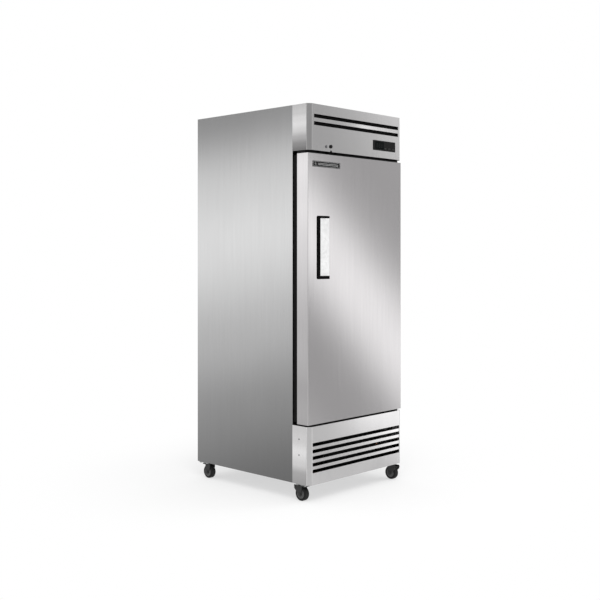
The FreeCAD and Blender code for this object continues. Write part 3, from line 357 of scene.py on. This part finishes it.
# face_frame, hinge_brackets, vent_screen and condenser_coil are black partly as their own finish and partly
# as painted shade: the darkness in the door gaps and behind the slots
finish_of = {
    "side_panel_left": side_steel, "side_panel_right": side_steel, "top_panel": top_steel,
    "header_panel": header_steel, "lower_grille": grille_steel, "door_skin": door_steel,
    "back_panel": back_sheet, "rear_cover": back_sheet, "base_plate": back_sheet,
    "interior_liner": liner_sheet, "door_liner": liner_sheet, "evaporator_cover": liner_sheet,
    "condenser_coil": black_paint, "evaporator_coil": fins, "condenser_fan": fins,
    "wall_insulation": insulation, "door_foam": insulation,
    "handle_plate": bright_plate, "refrigerant_lines": copper,
    "panel_screws": screw_zinc, "shelf_pilasters": zinc, "shelf_clips": zinc, "caster_plates": zinc,
    "hinge_brackets": black_paint, "compressor": black_paint, "condenser_fan_motor": black_paint,
    "evaporator_fan_motor": black_paint, "lock_escutcheon": black_paint, "lock_cylinder": black_paint,
    "vent_screen": deep_black, "controller_housing": gloss_black, "nameplate": gloss_black,
    "controller_lens": lens, "key_set": key_plastic, "key_up": key_plastic, "key_down": key_plastic,
    "pilot_lamp": jewel, "condenser_shroud": black_plastic, "condensate_drain": black_plastic,
    "electrical_box": black_plastic, "evaporator_fan": black_plastic, "face_frame": black_plastic,
    "door_edge_frame": black_plastic, "handle_bezel": deep_black, "hinge_bushes": nylon,
    "door_gasket": gasket, "shelf_lower": coated_wire, "shelf_middle": coated_wire,
    "shelf_upper": coated_wire, "led_lamp": lamp,
}
for corner in ("front_left", "front_right", "rear_left", "rear_right"):
    finish_of["caster_fork_" + corner] = fork_enamel
    finish_of["caster_wheel_" + corner] = tyre
    finish_of["brake_pedal_" + corner] = black_paint

for name, piece in nodes.items():
    if not piece.data.materials:
        piece.data.materials.append(finish_of[name])
    for slot in piece.material_slots:
        slot.material = finish_of[name]


# ---------------------------------------------------------------- small pieces
def add_piece(name, mesh_data, body, material, smooth=None):
    """Makes a piece from a bmesh, with its finish, and lets it ride on a body."""
    mesh = bpy.data.meshes.new(name)
    bmesh.ops.recalc_face_normals(mesh_data, faces=mesh_data.faces)
    mesh_data.to_mesh(mesh)
    mesh_data.free()
    piece = bpy.data.objects.new(name, mesh)
    scene.collection.objects.link(piece)
    mesh.materials.append(material)
    if smooth is not None:
        mesh.shade_smooth()
        mesh.set_sharp_from_angle(angle=math.radians(smooth))
    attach(piece, body)
    return piece


def turned(mesh_data, profile, place, axis, segments=32):
    """Revolves (along, radius) points about an axis through place; the two ends are closed."""
    to_axis = Vector(axis).to_track_quat("Z", "Y").to_matrix()
    rings = []
    for along, radius in profile:
        ring = []
        for i in range(segments):
            angle = 2 * math.pi * i / segments
            point = Vector((radius * math.cos(angle), radius * math.sin(angle), along))
            ring.append(mesh_data.verts.new(to_axis @ point + Vector(place)))
        rings.append(ring)
    for low, high in zip(rings, rings[1:]):
        for i in range(segments):
            j = (i + 1) % segments
            mesh_data.faces.new((low[i], low[j], high[j], high[i]))
    mesh_data.faces.new(rings[0])
    mesh_data.faces.new(rings[-1])


def ring_of(mesh_data, profile, place, axis, segments=48):
    """Revolves a closed loop of (along, radius) points about an axis through place."""
    to_axis = Vector(axis).to_track_quat("Z", "Y").to_matrix()
    rings = []
    for i in range(segments):
        angle = 2 * math.pi * i / segments
        rings.append([mesh_data.verts.new(to_axis @ Vector((r * math.cos(angle), r * math.sin(angle), a))
                                          + Vector(place)) for a, r in profile])
    count = len(profile)
    for i, ring in enumerate(rings):
        after = rings[(i + 1) % segments]
        for k in range(count):
            mesh_data.faces.new((ring[k], ring[(k + 1) % count], after[(k + 1) % count], after[k]))


def swept(mesh_data, outline, start, end, up=(0, 0, 1)):
    """A straight bar from start to end, with an outline of (sideways, up) points, closed at its ends."""
    start, end, up = Vector(start), Vector(end), Vector(up)
    sideways = (end - start).normalized().cross(up)
    rings = [[mesh_data.verts.new(point + sideways * a + up * b) for a, b in outline]
             for point in (start, end)]
    count = len(outline)
    for k in range(count):
        mesh_data.faces.new((rings[0][k], rings[0][(k + 1) % count], rings[1][(k + 1) % count], rings[1][k]))
    mesh_data.faces.new(rings[0])
    mesh_data.faces.new(rings[1])


def box_outline(width, height, edge):
    """A rectangle with its four corners cut by edge, as a bar's outline."""
    a, b = width / 2, height / 2
    return [(-a, -b + edge), (-a + edge, -b), (a - edge, -b), (a, -b + edge),
            (a, b - edge), (a - edge, b), (-a + edge, b), (-a, b - edge)]


def hex_bolt(mesh_data, place, axis, radius, height):
    """A hexagon head with chamfered corners on a thin round washer."""
    turned(mesh_data, [(0, radius * 1.35), (height * 0.18, radius * 1.35)], place, axis)
    turned(mesh_data, [(height * 0.18, radius), (height * 0.85, radius), (height, radius * 0.86)],
           place, axis, segments=6)


def pan_screw(mesh_data, place, axis, radius, height):
    """A domed screw head with a shallow socket."""
    steps = 6
    dome = [(height * math.sin(math.pi / 2 * i / steps), radius * math.cos(math.pi / 2 * i / steps) + 1e-5)
            for i in range(steps)]
    turned(mesh_data, [(-0.0004, radius)] + dome + [(height, radius * 0.34), (height * 0.45, radius * 0.26)],
           place, axis, segments=24)


def casters():
    """Hub covers with spokes on both sides of each wheel, and bolt heads under the swivel plates."""
    bolts = bmesh.new()
    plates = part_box("caster_plates")
    plate_half, bolt_offset, bolt_level = 0.034, 0.026, 0.0872
    disc_face, spokes = 0.0121, 6
    for corner in ("front_left", "front_right", "rear_left", "rear_right"):
        low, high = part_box("caster_wheel_" + corner)
        centre = (low + high) / 2
        radius = (high.z - low.z) / 2
        cover = bmesh.new()
        for side in (-1, 1):
            face = centre + Vector((side * disc_face, 0, 0))
            ring_of(cover, [(0, radius * 0.32), (0.0026, radius * 0.32), (0.0032, radius * 0.36),
                            (0.0012, radius * 0.42), (0.0010, radius * 0.60), (0.0024, radius * 0.65),
                            (0.0020, radius * 0.69), (0, radius * 0.69)], face, (side, 0, 0))
            for i in range(spokes):
                angle = 2 * math.pi * (i + 0.5) / spokes
                way = Vector((0, math.cos(angle), math.sin(angle)))
                swept(cover, box_outline(0.004, 0.0026, 0.0006), face + way * radius * 0.38,
                      face + way * radius * 0.64, up=(side, 0, 0))
        add_piece("hub_cover_" + corner, cover, "wheel_" + corner, hub_plastic, 30)

        fork_low, fork_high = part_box("caster_fork_" + corner)
        swivel_x = (fork_low.x + fork_high.x) / 2
        front = corner.startswith("front")
        swivel_y = plates[0].y + plate_half if front else plates[1].y - plate_half
        for dx in (-bolt_offset, bolt_offset):
            for dy in (-bolt_offset, bolt_offset):
                hex_bolt(bolts, (swivel_x + dx, swivel_y + dy, bolt_level), (0, 0, -1), 0.0066, 0.0052)
    add_piece("caster_bolts", bolts, "cabinet", zinc, 30)


def slot_lips():
    """Rolled lips behind the edges of the header's and the grille's long slots."""
    lips = bmesh.new()
    inside = front_edge + 0.0012
    curl = [(0.0000, 0.0006), (0.0016, 0.0005), (0.0030, -0.0004), (0.0038, -0.0020), (0.0028, -0.0024),
            (0.0022, -0.0012), (0.0012, -0.0005), (0.0000, -0.0004)]
    slots = [(header_slot_half, header_foot + level, header_slot_height) for level in header_slots]
    slots += [(grille_slot_half, grille_foot + level, grille_slot_height) for level in grille_slots]
    behind = 0.0006
    for half, middle, height in slots:
        for side in (-1, 1):
            outline = [(-a, side * b) for a, b in curl]
            edge = middle - side * (height / 2 + behind)
            swept(lips, outline, (-half, inside, edge), (half, inside, edge))
    add_piece("slot_lips", lips, "cabinet", side_steel, 40)


def nameplate_trim():
    """A plain keyline, a six-armed star and two bars on the blank nameplate."""
    low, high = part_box("nameplate")
    trim = bmesh.new()
    y = low.y - 0.0001
    line, raised = 0.0012, 0.0005
    inset = 0.0032
    x0, x1, z0, z1 = low.x + inset, high.x - inset, low.z + inset, high.z - inset
    bar = box_outline(line, raised, 0.0001)
    for start, end in (((x0, z0), (x1, z0)), ((x0, z1), (x1, z1))):
        swept(trim, bar, (start[0], y, start[1]), (end[0], y, end[1]), up=(0, -1, 0))
    for x in (x0, x1):
        swept(trim, bar, (x, y, z0 - line / 2), (x, y, z1 + line / 2), up=(0, -1, 0))
    star = Vector((x0 + 0.016, y, (z0 + z1) / 2))
    arm = (z1 - z0) * 0.36
    for i in range(3):
        angle = math.pi / 3 * i + math.pi / 2
        way = Vector((math.cos(angle), 0, math.sin(angle)))
        swept(trim, bar, star - way * arm, star + way * arm, up=(0, -1, 0))
    for share in (0.36, 0.64):
        z = z0 + (z1 - z0) * share
        swept(trim, box_outline(0.0022, raised, 0.0001), (x0 + 0.034, y, z), (x1 - 0.012, y, z),
              up=(0, -1, 0))
    add_piece("nameplate_trim", trim, "door", plate_mark)


def display():
    """Three unlit seven-segment figures behind the display window, and a plain mark on each key."""
    low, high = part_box("controller_lens")
    y = low.y - 0.00005
    figures = bmesh.new()
    tall, wide, thick = 0.020, 0.0105, 0.0021
    segments = [((-1, 0), (-1, 1)), ((-1, -1), (-1, 0)), ((1, 0), (1, 1)), ((1, -1), (1, 0)),
                ((-1, 1), (1, 1)), ((-1, 0), (1, 0)), ((-1, -1), (1, -1))]
    middle = (low + high) / 2
    for i in (-1, 0, 1):
        centre = Vector((middle.x + i * 0.0185, y, middle.z))
        for (ax, az), (bx, bz) in segments:
            a = centre + Vector((ax * wide / 2, 0, az * tall / 2))
            b = centre + Vector((bx * wide / 2, 0, bz * tall / 2))
            shrink = (b - a).normalized() * thick * 0.6
            swept(figures, box_outline(thick, 0.0002, 0.00004), a + shrink, b - shrink, up=(0, -1, 0))
    add_piece("display_figures", figures, "cabinet", figure_grey)

    for key, shape in (("key_set", "ring"), ("key_up", "up"), ("key_down", "down")):
        low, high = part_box(key)
        centre = Vector(((low.x + high.x) / 2, low.y - 0.0001, (low.z + high.z) / 2))
        mark = bmesh.new()
        if shape == "ring":
            ring_of(mark, [(0, 0.0015), (0.0002, 0.0016), (0.0002, 0.0023), (0, 0.0024)], centre, (0, -1, 0))
        else:
            turn = 1 if shape == "up" else -1
            tip = centre + Vector((0, 0, 0.0014 * turn))
            for side in (-1, 1):
                foot = tip + Vector((side * 0.0030, 0, -0.0028 * turn))
                swept(mark, box_outline(0.0009, 0.0002, 0.00004), tip, foot, up=(0, -1, 0))
        add_piece(key + "_mark", mark, key, mark_grey)


def back_fixings():
    """Screws round the back panel, and pressed hoods over the rear cover's louvres."""
    low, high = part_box("back_panel")
    screws = bmesh.new()
    inset = 0.012
    rows, columns = 9, 4
    for i in range(rows):
        z = low.z + inset + (high.z - low.z - 2 * inset) * i / (rows - 1)
        for x in (low.x + inset, high.x - inset):
            pan_screw(screws, (x, high.y, z), (0, 1, 0), 0.0042, 0.0020)
    for i in range(1, columns):
        x = low.x + inset + (high.x - low.x - 2 * inset) * i / columns
        for z in (low.z + inset, high.z - inset):
            pan_screw(screws, (x, high.y, z), (0, 1, 0), 0.0042, 0.0020)
    add_piece("back_screws", screws, "cabinet", zinc, 40)

    hoods = bmesh.new()
    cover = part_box("rear_cover")
    first, pitch, half = cover[0].z + 0.098, 0.024, 0.083
    bulge = [(0.0000, 0.0105), (0.0022, 0.0098), (0.0040, 0.0078), (0.0050, 0.0050), (0.0053, 0.0022),
             (0.0043, 0.0022), (0.0040, 0.0046), (0.0031, 0.0070), (0.0017, 0.0086), (0.0000, 0.0092)]
    for row in range(7):
        for x in (-0.21, 0.0, 0.21):
            swept(hoods, [(-a, b) for a, b in bulge], (x - half, cover[1].y, first + pitch * row),
                  (x + half, cover[1].y, first + pitch * row))
    add_piece("louvre_hoods", hoods, "cabinet", back_sheet, 40)


def hinge_screws():
    """Two countersunk screws in each hinge leaf's leg."""
    low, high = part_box("hinge_brackets")
    screws = bmesh.new()
    leg_height, leg_thick = 0.046, 0.005
    front = high.y - leg_thick
    for z0, z1 in ((high.z - leg_height, high.z), (low.z, low.z + leg_height)):
        for x in (low.x + 0.008, low.x + 0.034):
            for z in (z0 + 0.020, z1 - 0.012):
                pan_screw(screws, (x, front, z), (0, -1, 0), 0.0034, 0.0012)
    add_piece("hinge_screws", screws, "cabinet", zinc, 40)


casters()
slot_lips()
nameplate_trim()
display()
back_fixings()
hinge_screws()


# ---------------------------------------------------------------- studio
def studio_world():
    """A white studio. Glossy rays see soft bands of light: level at the back, tilted in front."""
    world = bpy.data.worlds.new("studio")
    world.use_nodes = True
    scene.world = world
    g = Graph(world.node_tree)
    xyz = g("SeparateXYZ", Vector=g("TexCoord").outputs["Generated"]).outputs
    to_degrees = 180.0 / math.pi
    elevation = g.math("MULTIPLY", g.math("ARCSINE", xyz[2]), to_degrees)
    azimuth = g.math("MULTIPLY", g.math("ARCTAN2", xyz[1], xyz[0]), to_degrees)

    # level bands that rise and fall a little, seen by the sides and the back
    sway, waves, side_azimuth = 4.0, 3.0 / to_degrees, 133.0
    swing = g.math("MULTIPLY", g.math("SUBTRACT", azimuth, side_azimuth), waves)
    height = g.math("MULTIPLY_ADD", g.math("SINE", swing), -sway, elevation)
    sides = g.curve(height, [(-60, 0.40), (-14, 0.25), (-9, 0.47), (-5, 0.80), (1.2, 1.30), (4.5, 1.12),
                             (8.5, 0.38), (10, 0.42), (13.5, 1.15), (24, 0.8), (60, 1.0)])

    # leaning bands in front
    lean, repeat, middle_band, band_azimuth = 1.30, 40.0, 1.2, -43.1
    across = g.math("MULTIPLY_ADD", g.math("SUBTRACT", azimuth, band_azimuth), lean, elevation)
    across = g.math("WRAP", g.math("SUBTRACT", across, middle_band), -repeat / 2, repeat / 2)
    tilted = g.curve(across, [(-20, 0.75), (-14, 0.66), (-8.5, 0.44), (-4.9, 0.42), (-0.8, 1.44),
                              (1.2, 1.44), (5.3, 0.47), (11, 0.48), (20, 0.75)])
    toward_front = g.math("MULTIPLY", g.between(azimuth, -176, -166), g.between(azimuth, -14, -4, 1.0, 0.0))
    light = g.mix(toward_front, sides, tilted)

    # a tall soft box straight in front, and beside it a dark stand that the bevelled corners pick up
    soft_box = g.math("MULTIPLY", g.between(azimuth, -105, -100), g.between(azimuth, -86, -78, 1.0, 0.0))
    glow = g.curve(elevation, [(-60, 0.70), (-30, 0.72), (-8, 0.76), (-2.5, 1.1), (3.5, 1.1),
                               (9, 0.76), (30, 0.80), (60, 0.9)])
    light = g.mix(soft_box, light, glow)
    stand = g.math("MULTIPLY", g.between(azimuth, -128, -122), g.between(azimuth, -111, -105, 1.0, 0.0))
    shadow = g.curve(elevation, [(-60, 0.50), (-12, 0.50), (-4, 0.50), (3, 0.42), (9, 0.37), (13, 0.40),
                                 (60, 0.8)])
    light = g.mix(stand, light, shadow)

    fill, backdrop = 0.85, 1.0
    path = g("LightPath").outputs
    strength = g.mix(path["Is Glossy Ray"], fill, light)
    strength = g.mix(path["Is Camera Ray"], strength, backdrop)
    background = g("Background", Color=(1.0, 1.0, 1.0, 1.0), Strength=strength)
    g.tree.links.new(background.outputs[0], g("OutputWorld").inputs["Surface"])


def studio_floor():
    """A pale round floor that fades into the white backdrop."""
    radius, fade_from, fade_to, least_white = 12.0, 0.4, 1.6, 0.55
    bpy.ops.mesh.primitive_circle_add(vertices=96, radius=radius, fill_type="NGON")
    floor = bpy.context.object
    floor.name = "studio_floor"
    material = bpy.data.materials.new("studio_floor")
    material.use_nodes = True
    g = Graph(material.node_tree)
    place = g("TexCoord").outputs["Object"]
    distance = g("VectorMath", {"operation": "LENGTH"}, i0=place).outputs["Value"]
    paper = g("BsdfDiffuse", Color=(0.93, 0.93, 0.93, 1.0)).outputs[0]
    white = g("Emission", Color=(1.0, 1.0, 1.0, 1.0), Strength=1.0).outputs[0]
    fade = g.between(distance, fade_from, fade_to, least_white, 1.0)
    blend = g("MixShader", Fac=fade, i1=paper, i2=white)
    g.tree.links.new(blend.outputs[0], g("OutputMaterial").inputs["Surface"])
    floor.data.materials.append(material)
    floor.visible_glossy = False


def soft_light(name, place, target, size, power):
    light = bpy.data.lights.new(name, "AREA")
    light.shape, light.size, light.energy = "DISK", size, power
    lamp_object = bpy.data.objects.new(name, light)
    lamp_object.location = place
    lamp_object.rotation_euler = (Vector(target) - Vector(place)).to_track_quat("-Z", "Y").to_euler()
    lamp_object.visible_glossy = False
    scene.collection.objects.link(lamp_object)


def camera():
    """Level camera at chest height off the front left corner, framed by a small downward shift."""
    data = bpy.data.cameras.new("camera")
    data.lens, data.sensor_width, data.shift_y = 56.72, 36.0, -0.0751
    data.clip_end = 100.0
    eye = bpy.data.objects.new("camera", data)
    eye.location = (-3.787, -3.625, 1.2359)
    heading = math.radians(-46.287)
    eye.rotation_euler = (math.pi / 2, 0.0, heading)
    scene.collection.objects.link(eye)
    scene.camera = eye


studio_world()
studio_floor()
middle = (0.0, 0.0, 0.9)
soft_light("key", (-2.6, -2.8, 4.2), middle, 2.6, 90.0)
soft_light("fill", (3.2, -2.4, 2.6), middle, 2.0, 30.0)
camera()
